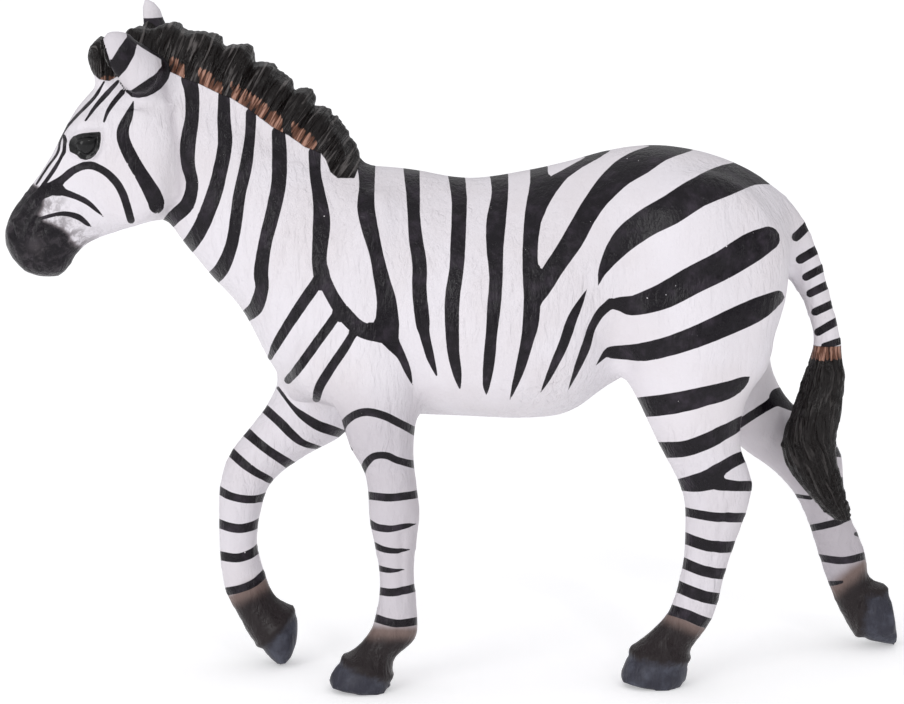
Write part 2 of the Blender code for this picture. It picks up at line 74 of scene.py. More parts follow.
# Paint strokes: pixel x, pixel y and the stroke's width there
headStrokes = [
    [(42, 191, 10), (60, 181, 8), (76, 169, 7.5), (90, 165.5, 7.5), (104, 171, 7.5), (115, 181, 8),
     (122, 192, 8), (127, 206, 8), (131, 220, 7.5)],
    [(133.5, 101, 1), (129.5, 114, 8), (123.5, 128, 11.5), (123.5, 140, 13), (130.5, 156, 13.5),
     (140, 172.5, 13.5), (150, 189.5, 15.5), (155, 200, 16), (156, 204.5, 16)],
    [(60, 191, 8), (76, 196.5, 6), (87, 202, 5.5), (97, 210.5, 3.5), (104.5, 218, 0)],
    [(35, 220, 3), (56, 214.5, 4), (67, 214, 5), (78.5, 217.5, 5.5), (87, 224, 4), (92.5, 228.5, 0)],
    [(104, 82, 2), (94, 98, 3.5), (76, 116.5, 3), (66, 128.5, 2.5), (60.5, 139, 2.5), (57.5, 153, 2.5),
     (47.5, 167, 2.5), (36.5, 184, 2.5)],
    [(64, 136, 3), (64.5, 147, 4), (60.5, 158.5, 3.5), (52, 172.5, 4), (39, 191, 4)],
    [(118, 81.5, 3.5), (106.5, 94, 5), (95.5, 106.5, 4), (85.5, 120.5, 2)],
    [(123.5, 91, 5.5), (115, 101, 5), (108, 111, 4), (104, 121.5, 2.5)],
]
neckStrokes = [
    [(189, 79, 16), (192, 93.5, 14.5), (192, 117, 14), (188, 144, 15.5), (188, 165.5, 14), (192, 185, 13),
     (187, 204.5, 14.5), (175.5, 216, 13.5), (166, 226, 12)],
    [(224, 95.5, 11.5), (224, 120.5, 13.5), (225, 144, 14.5), (220, 171.5, 14.5), (214, 194.5, 15.5),
     (202.5, 224, 15.5), (192, 241.5, 15.5), (182, 252, 15)],
    [(251, 113, 10.5), (250, 136, 10.5), (246, 165.5, 12.5), (239.5, 194.5, 12.5), (235.5, 224, 12.5),
     (231, 247, 12.5), (222, 268.5, 14.5), (210, 281, 14.5)],
    [(278.5, 132.5, 13.5), (279.5, 156, 15), (278.5, 185, 15), (272.5, 214, 14.5), (265, 243.5, 13.5),
     (261, 272.5, 14.5), (262, 287.5, 13.5), (256, 307, 14.5), (245, 317, 12)],
    [(314.5, 153, 12.5), (315.5, 175, 11.5), (320.5, 204.5, 14.5), (321.5, 224, 17.5), (319.5, 253, 15),
     (319.5, 264, 15), (321.5, 276, 16)],
    [(317.5, 281.5, 11.5), (304, 301, 11.5), (288.5, 324.5, 10.5), (276.5, 344, 9), (270, 357.5, 5)],
    [(322, 270, 14), (325, 281.5, 13.5), (335, 301, 13.5), (346.5, 316.5, 15.5), (362, 330, 15.5),
     (381, 333, 20)],
    [(337, 314.5, 9.5), (323, 334, 9.5), (307.5, 355.5, 9.5), (296, 371, 9), (288, 380, 8)],
    [(355.5, 330, 8), (343, 350, 9), (329, 371, 9.5), (319.5, 387, 9.5), (316.5, 398.5, 8)],
]
trunkStrokes = [
    [(366, 160, 19), (367, 184, 15.5), (366, 207.5, 17.5), (370, 229, 16.5), (376, 252.5, 13.5),
     (381, 276, 15.5), (386.5, 301, 19.5), (387.5, 324.5, 23.5), (390.5, 340, 16.5), (401, 355.5, 9),
     (408, 371, 7), (414, 387, 0)],
    [(411, 160, 17), (413, 192, 14), (414, 217.5, 12.5), (416, 240.5, 14), (419.5, 264, 14.5),
     (419.5, 291.5, 14.5), (422.5, 320.5, 14.5), (424.5, 334, 10.5), (430.5, 357.5, 8), (436.5, 375, 2)],
    [(455, 165, 17.5), (459, 195.5, 15.5), (459, 217.5, 15), (458, 243.5, 15), (456.5, 269.5, 14.5),
     (452.5, 297, 15), (452, 325, 14), (453.5, 352.5, 12), (457.5, 375, 8.5), (460.5, 391.5, 0)],
    [(498, 165, 20), (500, 192, 16.5), (496, 223, 19.5), (495, 251, 16.5), (496, 278.5, 13.5),
     (494, 306.5, 13.5), (491.5, 334, 11.5), (489, 362, 11.5), (486.5, 384, 7.5), (486.5, 396, 0)],
    [(539, 160, 17.5), (538.5, 186, 17.5), (534, 204.5, 15.5), (531.5, 223, 15), (530, 251, 15),
     (531, 277, 16.5), (532, 297, 16.5), (531, 321, 16.5), (527.5, 339.5, 13), (521, 365.5, 10),
     (514.5, 386, 5.5), (509.5, 401, 0)],
    [(534, 298, 18), (543, 286, 19), (552, 271, 19.3), (561.7, 256.7, 19.6), (572.7, 240, 21.3),
     (585.6, 216.7, 20.7), (596.4, 200, 21.5), (609, 185, 24), (623, 172, 25.5), (640, 162.5, 25.5),
     (663.5, 152, 17), (693, 146, 8)],
    [(587.5, 288, 0), (581, 301, 5.5), (572, 319.5, 10), (564.5, 341.5, 10), (555.5, 362, 8.5),
     (546, 382, 4.5), (540, 393.5, 0)],
    [(611, 303, 10), (599.5, 314, 9), (592, 328.5, 8.5), (585, 349, 9), (577.5, 367.5, 6.5),
     (567.5, 391.5, 0)],
]
# The wedge that leans from the fifth trunk stripe over the croup, and the dark patch where cheek stripes meet
wedges = [
    [(524, 230), (527.5, 200), (531.7, 170), (545, 166.7), (550, 176.7), (570, 165.8), (588, 155.8),
     (600, 149), (613, 145), (611.7, 149.7), (600, 157.5), (583, 166.7), (566.7, 178.3), (555, 193.3),
     (546.7, 208.3), (540.8, 223.3), (538.3, 240), (537.5, 256.7), (538.3, 274.2), (532, 278),
     (524, 262)],
    [(30, 196), (44, 186), (52, 181), (62, 184), (66, 189), (60, 196), (52, 195.5), (44, 199), (36, 206)],
]
haunchStrokes = [
    [(598, 286, 0), (604.5, 267, 11), (623, 241, 24), (647, 222.5, 28), (671, 209.5, 30), (697, 193, 30),
     (726.5, 180, 31), (754, 174, 22), (780, 182, 6)],
    [(611, 304, 9), (622, 304, 15), (634, 305.5, 20), (663.5, 296, 26), (693, 280, 28), (723, 265, 29),
     (750.5, 248, 30), (768, 238.5, 24)],
    [(595, 366.5, 0), (606, 354, 7), (615.5, 353, 13), (643, 352, 18.5), (671, 345.5, 20),
     (700.5, 335, 22), (730, 322, 24), (758, 309, 23), (778, 297, 13)],
]
tailStrokes = [
    [(796, 237, 9), (807, 226, 9)],
    [(800, 259.5, 9), (816, 250, 9)],
    [(806, 277, 8), (822.5, 268, 8)],
    [(810, 293.5, 8), (828, 284.5, 8)],
    [(815, 312, 8), (832, 304, 8)],
    [(818, 332, 8), (836.5, 321.5, 8)],
    [(824, 346.5, 7), (840, 341, 7)],
]
nearFrontStrokes = [
    [(352, 450, 2), (345.5, 442, 4), (342.5, 427.5, 7), (351, 417, 8), (365, 412, 8), (382, 415, 8),
     (398, 422.5, 8), (416, 432, 8.5)],
    [(364.5, 473, 2), (365.5, 464.5, 7), (373.5, 456.5, 7), (386, 455.5, 7), (398, 460.5, 7),
     (418, 465.5, 8)],
    [(364, 495, 8), (386, 497.5, 8), (402.5, 496.5, 8), (421, 493.5, 8)],
    [(366, 521, 7), (375.5, 527, 7), (390, 529, 6.5), (406.5, 526, 5), (416, 524, 1)],
    [(372, 544, 6), (384, 549.5, 6), (398, 551, 5), (409.5, 549.5, 1)],
    [(376, 567.5, 6), (390, 570.5, 5), (404.5, 570, 1)],
    [(376, 590.5, 8), (390, 592.5, 8), (402.5, 591, 8), (419, 586.5, 8)],
    [(370, 616, 8), (386, 621.5, 8), (400.5, 623.5, 8), (422, 620, 8)],
]
farFrontStrokes = [
    [(278, 388, 3), (291, 405, 4), (303, 416, 8), (318, 425.5, 10), (332, 430.5, 10), (346, 435, 8)],
    [(263, 407, 9), (278.5, 421, 9), (291, 433.5, 9), (303, 443, 7), (320, 448, 4)],
    [(245, 431, 10), (260, 444, 9), (272, 453, 9), (292, 466, 10)],
    [(228, 449, 9), (241, 461.5, 9), (253.5, 471, 8), (270, 480, 7)],
    [(215, 487.5, 8), (229, 495.5, 8), (243.5, 499, 8), (258, 499, 8), (270, 495, 8)],
    [(215, 522, 9), (231, 527.5, 9), (245.5, 528, 9), (266, 521, 9)],
    [(215, 554.5, 9), (235, 558, 9), (249.5, 554.5, 9), (265, 544.5, 9)],
    [(221, 592.5, 8), (241, 588.5, 8), (256, 581.5, 8), (271, 567, 8)],
]
nearHindStrokes = [
    [(634, 408, 20), (670, 404, 21), (703, 397, 20), (729.5, 389.5, 17), (742.5, 382, 10),
     (750, 376.5, 0)],
    [(655, 450, 16), (683.5, 449, 16), (705, 442, 16), (723, 433.5, 15), (742, 422, 12)],
    [(675, 485, 10), (696.5, 483, 18), (714, 478.5, 21)],
    [(712, 474, 14), (723, 467.5, 13), (734, 461, 12), (750, 454, 11)],
    [(708, 480, 16), (720, 484, 13), (736, 486, 10.5), (758, 486, 10.5)],
    [(680, 510.5, 9), (698.5, 514.5, 9), (720.5, 517.5, 9.5), (751, 517.5, 9.5)],
    [(681, 536.5, 11.5), (698.5, 543, 11.5), (716, 547, 11.5), (742, 546.5, 11.5)],
    [(678, 560.5, 11), (696.5, 568.5, 11), (712, 573, 11), (733, 574, 11)],
    [(672, 584, 12), (692, 592.5, 12), (705, 597, 12), (726, 600, 12)],
    [(665, 608, 11), (688, 615.5, 11), (701, 621, 11), (721, 627, 11)],
]
farHindStrokes = [
    [(736, 426, 9), (758, 411.5, 9), (773, 402, 11), (780, 397, 19), (792, 405, 12)],
    [(835, 452, 10), (850, 453, 9)],
    [(838, 480, 6), (852, 481, 6)],
    [(790, 495, 4), (811, 498, 4)],
    [(806, 529, 7), (824, 525.5, 7), (841, 521, 7), (858, 512, 6)],
    [(856, 534, 4), (864, 536, 6)],
    [(815, 557, 7), (843.5, 560.5, 7.5), (871, 554, 7.5)],
    [(820, 584, 6), (832, 583.5, 5), (842, 582, 3)],
]
# The outer side of the far hind leg, which the photograph doesn't show
farHindOuterStrokes = [
    [(640, 374, 16), (690, 380, 20), (735, 374, 16), (776, 352, 6)],
    [(686, 411, 12), (720, 414, 15), (755, 404, 13), (792, 398, 13)],
    [(728, 448, 8), (765, 444, 13), (800, 428, 12), (826, 412, 7)],
    [(760, 474, 7), (800, 470, 11), (850, 452, 9)],
    [(784, 496, 4), (815, 498, 9), (852, 481, 7)],
]

# Outlines and edges, in pixels of the photograph
eyeShape = [(69.8, 145), (71, 140.5), (74, 136.5), (81, 134), (91, 132.5), (100.5, 132), (100.9, 140),
            (99.2, 148.5), (95.5, 154.5), (91, 158.2), (86, 159.6), (81, 158), (77.5, 154.5), (71, 151.5)]
muzzleShape = [(-20, 194), (24, 187), (32, 184), (40, 189), (44, 196), (43, 206), (38, 214), (44, 221),
               (54, 225), (62, 229), (68, 234), (71, 241), (77, 246), (84, 250), (92, 262), (60, 300),
               (-20, 300)]
maneShape = [(60, 48), (84, 60), (90, 71), (99, 79), (109, 81), (122, 74), (142, 70), (160, 76),
             (171, 72), (183.5, 78), (199.5, 84), (218, 93), (232, 98.5), (250, 110), (273, 127.5),
             (289, 135.5), (305, 147), (321, 153), (326, 160), (330.5, 172), (337.5, 178), (354.5, 178),
             (358, 168), (364, 150), (430, 100), (430, -60), (60, -60)]
maneEdge = maneShape[7:18]
jawEdge = [(163, 84), (171, 112), (178, 145), (182, 172), (178, 198), (166, 214)]
# From which pixel x to which the mane's lower edge is copper
copperPatches = [(168, 186), (197, 224), (229, 262), (258, 284), (290, 318)]
# The gaps between the tops of the mane's locks
maneNotches = [(224, 47), (258, 61), (279, 68), (298, 85), (320.5, 101), (336, 114)]
# Grooves in both sides of the face: a path in pixels, its half-width there, and a depth in millimetres
faceGrooves = [
    (jawEdge, 6.0, 0.40),
    ([(11, 226), (11, 231), (13, 235)], 3.0, 0.50),
    ([(27, 263), (34, 260), (42, 254), (47, 247)], 2.4, 0.32),
    ([(36, 203), (29, 212), (25, 222), (20, 232)], 2.4, 0.16),
    ([(45, 207), (37, 217), (33, 228), (30, 238)], 2.4, 0.16),
    ([(56, 222), (46, 227), (39, 236)], 2.6, 0.14),
    ([(30, 192), (22, 202), (16, 214)], 2.4, 0.12),
    ([(64, 152), (72, 160), (84, 164.5), (96, 161), (103, 152)], 3.0, 0.20),
    ([(66, 140), (74, 131), (86, 127.5), (100, 127)], 3.0, 0.16),
    ([(52, 196), (66, 204), (80, 214), (92, 228)], 4.0, 0.14),
]
faceRidges = [
    ([(36, 243), (44, 238), (50, 233)], 4.0, 0.22),
    ([(15, 221), (18, 226), (18, 233)], 2.6, 0.22),
    ([(140, 110), (150, 140), (160, 175), (158, 205)], 13.0, 0.35),
    ([(70, 172), (82, 178), (96, 190)], 8.0, 0.15),
]
# The same behind the shoulder and before the thigh on both sides, and down the legs that face the camera
bodyGrooves = [
    ([(404, 340), (411, 362), (415, 392)], 6.0, 0.30),
    ([(596, 330), (612, 348), (632, 366)], 8.0, 0.22),
    ([(318, 300), (336, 330), (350, 362), (352, 392)], 9.0, 0.16),
]
legGrooves = [
    ([(391, 405), (394, 430), (393, 458)], 3.5, 0.16),
    ([(374, 521), (390, 527), (410, 523)], 4.5, 0.14),
    ([(403, 535), (402, 565), (403, 600)], 3.0, 0.20),
    ([(705, 398), (718, 428), (736, 452)], 6.0, 0.20),
    ([(734, 500), (722, 528), (710, 566), (698, 602)], 3.6, 0.24),
    ([(259, 500), (260, 532), (256, 566)], 3.2, 0.18),
    ([(838, 500), (846, 525), (854, 548)], 3.0, 0.18),
    ([(384, 632), (378, 648), (374, 664)], 3.2, 0.26),
    ([(400, 628), (398, 645), (390, 660)], 4.0, 0.20),
    ([(683, 622), (676, 634), (672, 646)], 3.2, 0.24),
    ([(262, 590), (272, 604), (279, 616)], 3.2, 0.28),
    ([(848, 580), (854, 592), (858, 604)], 3.0, 0.24),
]
earShapes = {
    "tip": [(96, 22), (124, 22), (127, 40), (118, 52.5), (110.5, 64), (105, 50)],
    "field": [(137, 45), (161, 59), (161.7, 66), (155.8, 73.7), (145, 81), (131, 90.5), (126, 89.5),
              (118, 78), (126.5, 69.5), (134.7, 55)],
}
nearEar = {
    "outline": [(96, 16), (128, 16), (137, 36), (142, 43), (164, 57), (169.5, 64), (170.5, 72), (168, 80),
                (161.5, 88), (154, 93.5), (147, 96.5), (138, 98), (131.5, 97), (126, 92), (117, 79.5),
                (109, 66), (104, 50)],
    "reach": 8.0,           # how far past its outline the ear can still lie, in pixels
    "root": (-40.5, -4.6, 82.7),
    "tip": (-46.3, -7.4, 88.8),
    "inwards": 1.6,         # from its axis towards the head, in millimetres
    "leaning": (-0.3, 1.2),     # from where to where its axis leans, in shares of its length
}
sideStrokes = headStrokes + neckStrokes + trunkStrokes + haunchStrokes + tailStrokes
strokeReach = 16.0          # how far past a stroke's edge its distance is kept, in pixels
toMillimetres = photo["pixel"]
tiny = 1e-9                 # keeps divisions from zero


def smoothStroke(stroke, steps=5):      # a Catmull-Rom curve through the stroke's rows
    rows = np.array(stroke, float)
    padded = np.vstack([2 * rows[0] - rows[1], rows, 2 * rows[-1] - rows[-2]])
    t = np.arange(steps)[:, None] / steps
    path = []
    for a, b, c, d in zip(padded, padded[1:], padded[2:], padded[3:]):
        bend = (2 * a - 5 * b + 4 * c - d) * t ** 2 + (3 * b - a - 3 * c + d) * t ** 3
        path.append((2 * b + (c - a) * t + bend) / 2)
    path.append(rows[-1:])
    return np.vstack(path)


def strokeField(px, py, strokes):       # pixels to the nearest stroke's edge, and its width there
    field = np.full(len(px), strokeReach)
    widths = np.full(len(px), 2 * strokeReach)
    for stroke in strokes:
        path = smoothStroke(stroke)
        margin = strokeReach + path[:, 2].max() / 2
        low, high = path[:, :2].min(0) - margin, path[:, :2].max(0) + margin
        chosen = np.nonzero((px > low[0]) & (px < high[0]) & (py > low[1]) & (py < high[1]))[0]
        x, y = px[chosen], py[chosen]
        for (ax, ay, aw), (bx, by, bw) in zip(path, path[1:]):
            dx, dy = bx - ax, by - ay
            t = np.clip(((x - ax) * dx + (y - ay) * dy) / (dx * dx + dy * dy + tiny), 0, 1)
            width = np.maximum(aw + (bw - aw) * t, 0)
            away = np.hypot(x - ax - t * dx, y - ay - t * dy) - width / 2
            nearer = away < field[chosen]
            field[chosen[nearer]] = away[nearer]
            widths[chosen[nearer]] = width[nearer]
    return field, widths


def edgeField(px, py, points):          # pixels to a polyline
    away = np.full(len(px), np.inf)
    for (ax, ay), (bx, by) in zip(points, points[1:]):
        dx, dy = bx - ax, by - ay
        t = np.clip(((px - ax) * dx + (py - ay) * dy) / (dx * dx + dy * dy + tiny), 0, 1)
        away = np.minimum(away, np.hypot(px - ax - t * dx, py - ay - t * dy))
    return away


def shapeField(px, py, corners):        # pixels to a polygon's edge, below zero inside it
    closed = corners + corners[:1]
    inside = np.zeros(len(px), bool)
    for (ax, ay), (bx, by) in zip(closed, closed[1:]):
        crosses = (ay > py) != (by > py)
        inside ^= crosses & (px < ax + (py - ay) * (bx - ax) / (by - ay if by != ay else tiny))
    away = edgeField(px, py, closed)
    return np.where(inside, -away, away)


def eased(value, low, high):            # 0 below low, 1 above high, smooth between
    t = np.clip((value - low) / (high - low), 0, 1)
    return t * t * (3 - 2 * t)


def bell(value, middle, width):         # 1 at the middle, fading out on both sides
    return np.exp(-((value - middle) / width) ** 2)


# Where each leg's hoof starts, in millimetres: two points of its coronet and a point in the hoof, as x and z,
# and the height that the far hind one ends at
hooves = {
    "nearFront": {"side": -1, "x": (-20, -3), "coronet": ((-14.9, 4.7), (-8.3, 2.2)), "within": (-12, 1)},
    "nearHind": {"side": -1, "x": (19, 38), "coronet": ((24.2, 5.2), (32.6, 4.0)), "within": (27, 1)},
    "farFront": {"side": 1, "x": (-36, -16), "coronet": ((-27.4, 2.8), (-22.8, 7.6)), "within": (-22, 1)},
    "farHind": {"side": 1, "x": (50, 70), "coronet": ((57.8, 0.5), (58.2, 8.0)), "within": (62, 3),
                "top": 8.6},
}
# Where the brown of each fetlock starts, in pixels, the way down it, and how far it takes to go black
fetlocks = {
    "nearFront": {"line": ((370, 625), (422, 626)), "down": (-0.25, 0.97), "length": 26},
    "nearHind": {"line": ((663, 608), (721, 632)), "down": (-0.42, 0.91), "length": 24},
    "farFront": {"line": ((222, 596), (272, 572)), "down": (0.42, 0.9), "length": 28},
    "farHind": {"line": ((826, 590), (864, 560)), "down": (0.78, 0.63), "length": 20},
}
# Where the figure's parts end: millimetres in the drawing's axes, or pixels where the name says so
limits = {
    "tailFront": 45.0, "tailHalfWidth": 4.3, "tailTop": 66.0,
    "farFrontBack": 1.0, "farFrontTop": 41.0,
    "farHindFront": 20.0, "farHindTop": 44.0,
    "nearLegsTop": 52.0, "nearFrontBack": 5.0, "nearHindFront": 15.0,
    "nearEarBottom": 78.0, "nearEarBack": -34.0,
    "farEarInside": 3.6, "farEarBottom": 84.0, "farEarBack": -36.0,
    "hairHalfWidth": 9.5, "hairBottom": 66.0,
    "headBottom": 50.0, "headBackPixel": 192, "throatTop": 79.0,
    "faceBottom": 55.0, "faceBackPixel": 125, "faceInside": 2.5,
    "eyeBackPixel": 112, "muzzleBackPixel": 60, "muzzleTopPixel": 185,
    "trunkBottom": 34.0, "grooveTop": 42.0, "shadeTop": 46.0,
    "fetlockTop": 20.0, "hoofTop": 14.0, "tuftTop": 47.0,
    "soleTop": 0.6, "ground": 0.05,
}
# The y of the far hind leg's middle, against its height
farHindMiddle = ([8, 14, 20, 30, 44], [11.8, 10.8, 9.5, 9.0, 8.3])


class Figure:      # the casting's vertices, with where they show in the photograph
    def __init__(self, mesh):
        places = np.empty(len(mesh.vertices) * 3)
        mesh.vertices.foreach_get("co", places)
        self.places = places.reshape(-1, 3) * 1000 + np.array(photo["toDrawing"])
        self.x, self.y, self.z = self.places.T
        self.px, self.py = photoPixels(self.x, self.y, self.z)
        self.sidePx, self.sidePy = photoPixels(self.x, -np.abs(self.y), self.z)
        self.isTail = (self.x > limits["tailFront"]) & (np.abs(self.y) < limits["tailHalfWidth"])
        self.isTail &= self.z < limits["tailTop"]
        self.farFront = (self.y > 0) & (self.x < limits["farFrontBack"]) & (self.z < limits["farFrontTop"])
        self.farHind = (self.y > 0) & (self.x > limits["farHindFront"]) & (self.z < limits["farHindTop"])
        self.farHind &= ~self.isTail
        self.head = (self.z > limits["headBottom"]) & (self.px < limits["headBackPixel"])
        root, tip = np.array(nearEar["root"]), np.array(nearEar["tip"])
        share = (self.places - root) @ (tip - root) / ((tip - root) @ (tip - root))
        axis = root[1] + (tip[1] - root[1]) * np.clip(share, *nearEar["leaning"])
        self.nearEarShare = share       # from its root to its tip
        self.nearEar = (self.z > limits["nearEarBottom"]) & (self.x < limits["nearEarBack"])
        self.nearEar &= self.y < axis + nearEar["inwards"]
        self.earField = shapeField(self.px, self.py, nearEar["outline"])
        self.nearEar &= self.earField < nearEar["reach"]
        self.farEar = (self.y > limits["farEarInside"]) & (self.z > limits["farEarBottom"])
        self.farEar &= self.x < limits["farEarBack"]
        self.hair = (np.abs(self.y) < limits["hairHalfWidth"]) & (self.z > limits["hairBottom"])
        self.hair &= ~(self.nearEar & (self.earField < 0)) & ~self.farEar

    def onLeg(self, hoof, top):     # the leg that a hoof is on, up to a height
        front, back = hoof["x"]
        return (self.y * hoof["side"] > 0) & (self.x > front) & (self.x < back) & (self.z < top)


def stripeField(figure):        # pixels to the nearest black stripe's edge, and its width there
    field = np.full(len(figure.x), strokeReach)
    widths = np.full(len(figure.x), 2 * strokeReach)

    def add(mask, px, py, strokes):
        index = np.nonzero(mask)[0]
        found, width = strokeField(px[index], py[index], strokes)
        nearer = found < field[index]
        field[index[nearer]] = found[nearer]
        widths[index[nearer]] = width[nearer]

    far = figure.farFront | figure.farHind
    body = ~far & ~figure.farEar
    add(body, figure.sidePx, figure.sidePy, sideStrokes)
    for corners in wedges:
        wedge = shapeField(figure.sidePx, figure.sidePy, corners)
        field = np.where(body, np.minimum(field, wedge), field)
    near = body & (figure.y < 0) & (figure.z < limits["nearLegsTop"])
    add(near & (figure.x < limits["nearFrontBack"]), figure.px, figure.py, nearFrontStrokes)
    hind = near & (figure.x > limits["nearHindFront"]) & ~figure.isTail
    add(hind, figure.px, figure.py, nearHindStrokes)
    add(figure.farFront, figure.px, figure.py, farFrontStrokes)
    add(figure.farHind, figure.px, figure.py, farHindStrokes)
    outer = figure.farHind & (figure.y > np.interp(figure.z, *farHindMiddle))
    add(outer, figure.px, figure.py, farHindOuterStrokes)
    return field, widths


casting = {
    "cell": 0.00086,        # of the even skin, in metres
    "weld": 1e-6,           # vertices closer than this are one, in metres
    "evening": 12,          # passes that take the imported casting's flat faces off
    "lastEvening": 2,       # and that even the finished skin
    "inwards": 0.5,         # how far half a pass moves a vertex towards its neighbours' middle, as a share
    "outwards": -0.52,      # and the other half
    "hairKept": 0.6,        # share of the evening that the mane is spared
    "hoofKept": 0.6,        # and that the hooves are spared
    "hoofTop": 4.5,         # up to this height, in millimetres
}
# Where the skin is cut finer, twice: pixels to a stripe's edge, to the mane and to the eye, the widest stripe
# that gets it, the height in millimetres that the face starts at, and whether the features get it too
finerSkins = [
    {"name": "fine skin", "stripe": 3, "widest": 12.5, "mane": 3, "eye": 8, "faceBottom": 50,
     "features": True},
    {"name": "finer skin", "stripe": 1.5, "widest": 5.6, "mane": 1, "eye": 2, "faceBottom": 55,
     "features": False},
]
fineHoofTop = 7.0           # the hooves are a feature up to this height


def evenSkin(node):
    bm = bmesh.new()
    bm.from_mesh(node.data)
    bmesh.ops.remove_doubles(bm, verts=bm.verts, dist=casting["weld"])
    mesh = bpy.data.meshes.new("zebraCast")
    bm.to_mesh(mesh)
    bm.free()
    piece = bpy.data.objects.new("zebraCast", mesh)
    scene.collection.objects.link(piece)
    remesh = piece.modifiers.new("Even", "REMESH")
    remesh.mode = "VOXEL"
    remesh.voxel_size = casting["cell"]
    bpy.context.view_layer.update()
    piece.data = bpy.data.meshes.new_from_object(piece.evaluated_get(bpy.context.evaluated_depsgraph_get()))
    piece.modifiers.clear()
    return piece


def evened(mesh, passes, amount=None):      # smooths without shrinking, as much as amount says at each vertex
    count = len(mesh.vertices)
    places = np.empty(count * 3)
    mesh.vertices.foreach_get("co", places)
    places = places.reshape(-1, 3)
    ends = np.empty(len(mesh.edges) * 2, np.int32)
    mesh.edges.foreach_get("vertices", ends)
    a, b = ends.reshape(-1, 2).T
    around = np.bincount(a, minlength=count) + np.bincount(b, minlength=count)
    for step in range(passes * 2):
        share = casting["inwards"] if step % 2 == 0 else casting["outwards"]
        total = np.stack([np.bincount(a, places[b, axis], count) + np.bincount(b, places[a, axis], count)
                          for axis in range(3)], -1)
        move = (total / around[:, None] - places) * share
        places = places + (move if amount is None else move * amount[:, None])
    mesh.vertices.foreach_set("co", places.ravel())
    mesh.update()


def refine(mesh, wanted):       # cuts the faces that have a wanted vertex into four
    bm = bmesh.new()
    bm.from_mesh(mesh)
    bm.verts.ensure_lookup_table()
    verts = [bm.verts[index] for index in np.nonzero(wanted)[0]]
    edges = {edge for vert in verts for face in vert.link_faces for edge in face.edges}
    edges = sorted(edges, key=lambda edge: edge.index)
    bmesh.ops.subdivide_edges(bm, edges=edges, cuts=1, use_grid_fill=True)
    bmesh.ops.triangulate(bm, faces=[face for face in bm.faces if len(face.verts) > 4])
    bm.to_mesh(mesh)
    bm.free()


def triangleCount(mesh):
    return sum(len(face.vertices) - 2 for face in mesh.polygons)


piece = evenSkin(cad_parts["zebra"])
mesh = piece.data
figure = Figure(mesh)
maneField = shapeField(figure.sidePx, figure.sidePy, maneShape)
spared = casting["hairKept"] * figure.hair * (maneField < 0)
spared = np.maximum(spared, casting["hoofKept"] * (figure.z < casting["hoofTop"]))
evened(mesh, casting["evening"], 1 - spared)
print("even skin:", triangleCount(mesh), "triangles")

for skin in finerSkins:
    figure = Figure(mesh)
    field, widths = stripeField(figure)
    maneField = shapeField(figure.sidePx, figure.sidePy, maneShape)
    eyeField = shapeField(figure.sidePx, figure.sidePy, eyeShape)
    face = (figure.z > skin["faceBottom"]) & (figure.sidePx < limits["eyeBackPixel"])
    wanted = (np.abs(field) < skin["stripe"]) & (widths < skin["widest"])
    wanted |= figure.hair & (maneField < skin["mane"])
    wanted |= face & (eyeField < skin["eye"])
    if skin["features"]:
        muzzle = (figure.z > limits["headBottom"]) & (figure.sidePx < limits["muzzleBackPixel"])
        muzzle &= figure.sidePy > limits["muzzleTopPixel"]
        tuftSkin = figure.isTail & (figure.z < limits["tuftTop"])
        wanted |= figure.nearEar | figure.farEar | (figure.z < fineHoofTop) | muzzle | tuftSkin
    refine(mesh, wanted)
    print(skin["name"] + ":", triangleCount(mesh), "triangles")
evened(mesh, casting["lastEvening"])

# Relief. Heights and depths are in millimetres. Widths and edges are in pixels, but in millimetres on the
# hooves and in turns of its own wave on the tuft.
relief = {
    "strand": 5.4, "strandHeight": 0.24,
    "crestCalm": 0.65,      # share of the strands' height that the mane's crest is spared
    "lock": 23.0, "lockHeight": 0.30,
    "rise": 0.78,           # share of a strand's width over which it rises, before it drops
    "notch": 0.62, "notchWidth": 3.2,
    "tuftStrand": 0.70, "tuftHeight": 0.26,
    "parting": 0.75,        # how far the forelock is lowered beside the near ear's tip
    "earRaise": 0.70,       # how far that tip is drawn up
    "lid": 0.22, "lidEdge": 0.5, "lidWidth": 1.7,
    "eyeGroove": 0.26, "eyeGrooveEdge": -3.6, "eyeGrooveWidth": 1.4,
    "eyeball": 0.34, "eyeballMiddle": (86, 144.5), "eyeballRadii": (9.5, 9.0),
    "coronet": 0.24, "coronetEdge": -0.25, "coronetWidth": 0.50,
    "crease": 0.14, "creaseEdge": -1.30, "creaseWidth": 0.40,
}
# The forelock beside the near ear's tip: where it fades in and out in pixels, its lowest pixel, and in
# millimetres the y of its sides and the height it starts at
forelock = {"front": (100, 106), "back": (122, 128), "bottom": 40, "sides": (-5.6, 3.6), "above": 86}
# How far forwards the mane's strands lean for each pixel down, and the pixel y of its middle, against pixel x
strandLean = ([90, 130, 350], [-0.2, 0.22, 0.6])
maneMiddle = ([100, 350], [60, 150])
# The x of the tuft's middle, against its height, in millimetres
tuftMiddle = ([20, 27, 33, 40, 47], [55.1, 51.0, 49.3, 50.9, 51.4])


def ripple(along, length, wander):      # overlapping locks: each rises slowly and drops sharply
    turn = along / length + wander
    part = turn - np.floor(turn)
    rise = relief["rise"]
    return np.where(part < rise, eased(part, 0, rise), 1 - eased(part, rise, 1.0))


def strandAt(px, py):       # the place along the neck of the strand that passes a pixel
    return px + (py - np.interp(px, *maneMiddle)) * np.interp(px, *strandLean)


